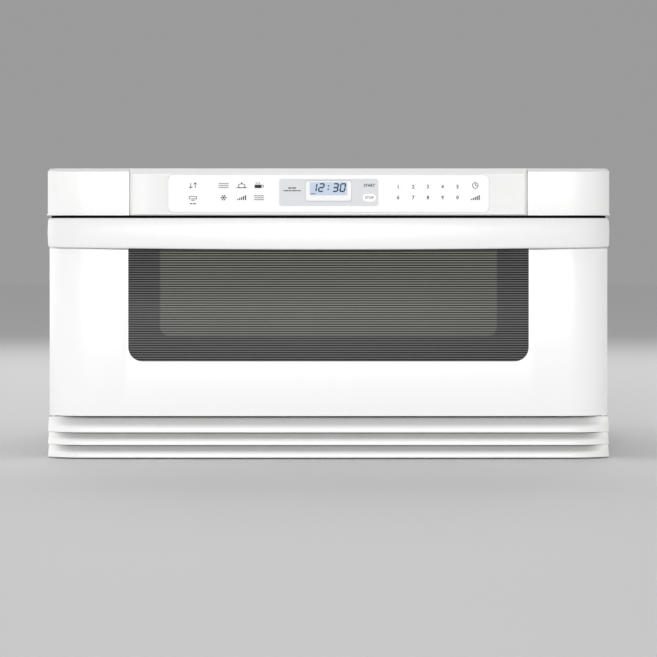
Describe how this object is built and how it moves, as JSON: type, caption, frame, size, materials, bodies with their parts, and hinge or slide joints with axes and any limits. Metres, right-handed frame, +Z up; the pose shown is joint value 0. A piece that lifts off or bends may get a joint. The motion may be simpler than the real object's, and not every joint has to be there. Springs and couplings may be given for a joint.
{
  "type": "microwave drawer",
  "caption": "Built-in microwave drawer: a pull-out oven bin behind a windowed front with a full-width handle, control strip above and louvre below.",
  "frame": {"origin": "on the base, midway across, in the plane of the cabinet's face that the mounting flange seats on", "axes": "+X to the right seen from the front, +Y into the cabinet, +Z up"},
  "size_m": [0.7626, 0.6715, 0.392],
  "materials": {
    "white_paint": "smooth white gloss paint",
    "bin_paint": "light grey-white baked enamel paint",
    "white_plastic": "moulded white, satin gloss",
    "membrane": "printed polyester overlay",
    "window_glass": "dark glass with fine printed lines",
    "inner_glass": "clear inner sheet",
    "display_lens": "clear lens with a white printed border",
    "lcd": "pale blue liquid crystal display",
    "ceramic_floor": "smooth glass ceramic",
    "choke_plastic": "grey moulded cover",
    "screen_steel": "perforated screen",
    "sheet_steel": "zinc-coated sheet",
    "slide_steel": "zinc-plated rolled steel",
    "screw_steel": "plated screw",
    "magnetron_metal": "mill-finish aluminium fins and yoke",
    "motor_metal": "pressed motor can",
    "core_iron": "varnished laminations",
    "winding_copper": "enamelled copper wire",
    "capacitor_can": "drawn can",
    "latch_plastic": "moulded nylon",
    "dark_plastic": "moulded black plastic",
    "fan_plastic": "moulded grey plastic",
    "circuit_board": "green solder mask",
    "lamp_glass": "clear bulb"
  },
  "bodies": {
    "housing": {"oven_cavity": "bin_paint", "left_corner_trim": "white_plastic", "right_corner_trim": "white_plastic", "control_bezel": "white_plastic", "louvre_grille": "white_plastic", "keypad_membrane": "membrane", "display_lens": "display_lens", "lcd_module": "lcd", "base_pan": "sheet_steel", "outer_cover": "sheet_steel", "rear_panel": "sheet_steel", "front_frame": "sheet_steel", "left_slide_bracket": "sheet_steel", "right_slide_bracket": "sheet_steel", "waveguide": "sheet_steel", "fan_shroud": "sheet_steel", "lamp_holder": "sheet_steel", "capacitor_clamp": "sheet_steel", "left_outer_slide": "slide_steel", "right_outer_slide": "slide_steel", "left_flange_screw": "screw_steel", "right_flange_screw": "screw_steel", "magnetron": "magnetron_metal", "stirrer_motor": "motor_metal", "fan_motor": "motor_metal", "transformer_core": "core_iron", "primary_winding": "winding_copper", "secondary_winding": "winding_copper", "high_voltage_capacitor": "capacitor_can", "left_interlock_holder": "latch_plastic", "right_interlock_holder": "latch_plastic", "left_interlock_switch": "dark_plastic", "right_interlock_switch": "dark_plastic", "rectifier": "dark_plastic", "thermostat": "dark_plastic", "cord_inlet_bush": "dark_plastic", "control_board": "circuit_board", "filter_board": "circuit_board", "cavity_lamp": "lamp_glass"},
    "drawer": {"drawer_front_panel": "white_paint", "window_glass": "window_glass", "drawer_inner_frame": "sheet_steel", "screen_panel": "screen_steel", "inner_window": "inner_glass", "choke_cover": "choke_plastic", "handle_bar": "white_paint", "drawer_bin": "bin_paint", "ceramic_floor": "ceramic_floor", "left_drawer_arm": "slide_steel", "right_drawer_arm": "slide_steel", "left_inner_slide": "slide_steel", "right_inner_slide": "slide_steel", "left_latch_hook": "latch_plastic", "right_latch_hook": "latch_plastic"},
    "left_slide_member": {"left_middle_slide": "slide_steel"},
    "right_slide_member": {"right_middle_slide": "slide_steel"},
    "fan_rotor": {"cooling_fan": "fan_plastic"},
    "antenna": {"stirrer_antenna": "magnetron_metal"},
    "left_lever": {"left_interlock_lever": "dark_plastic"},
    "right_lever": {"right_interlock_lever": "dark_plastic"}
  },
  "joints": [
    {"name": "drawer_slide", "type": "slide", "parent": "housing", "child": "drawer", "axis": [0, -1, 0], "range_m": [0, 0.38]},
    {"name": "left_slide_travel", "type": "slide", "parent": "housing", "child": "left_slide_member", "axis": [0, -1, 0], "range_m": [0, 0.19]},
    {"name": "right_slide_travel", "type": "slide", "parent": "housing", "child": "right_slide_member", "axis": [0, -1, 0], "range_m": [0, 0.19]},
    {"name": "fan_spin", "type": "hinge", "parent": "housing", "child": "fan_rotor", "pos_m": [-0.089, 0.484, 0.152], "axis": [1, 0, 0], "continuous": true},
    {"name": "stirrer_spin", "type": "hinge", "parent": "housing", "child": "antenna", "pos_m": [0, 0.189, 0.1], "axis": [0, 0, 1], "continuous": true},
    {"name": "left_lever_swing", "type": "hinge", "parent": "housing", "child": "left_lever", "pos_m": [-0.306, 0.0288, 0.222], "axis": [-1, 0, 0], "range_deg": [0, 8]},
    {"name": "right_lever_swing", "type": "hinge", "parent": "housing", "child": "right_lever", "pos_m": [0.306, 0.0288, 0.222], "axis": [-1, 0, 0], "range_deg": [0, 8]}
  ],
  "couplings": [
    {"joint": "left_slide_travel", "follows": "drawer_slide", "ratio": 0.5},
    {"joint": "right_slide_travel", "follows": "drawer_slide", "ratio": 0.5},
    {"joint": "left_lever_swing", "follows": "drawer_slide", "rad_per_m": 0.367},
    {"joint": "right_lever_swing", "follows": "drawer_slide", "rad_per_m": 0.367}
  ]
}
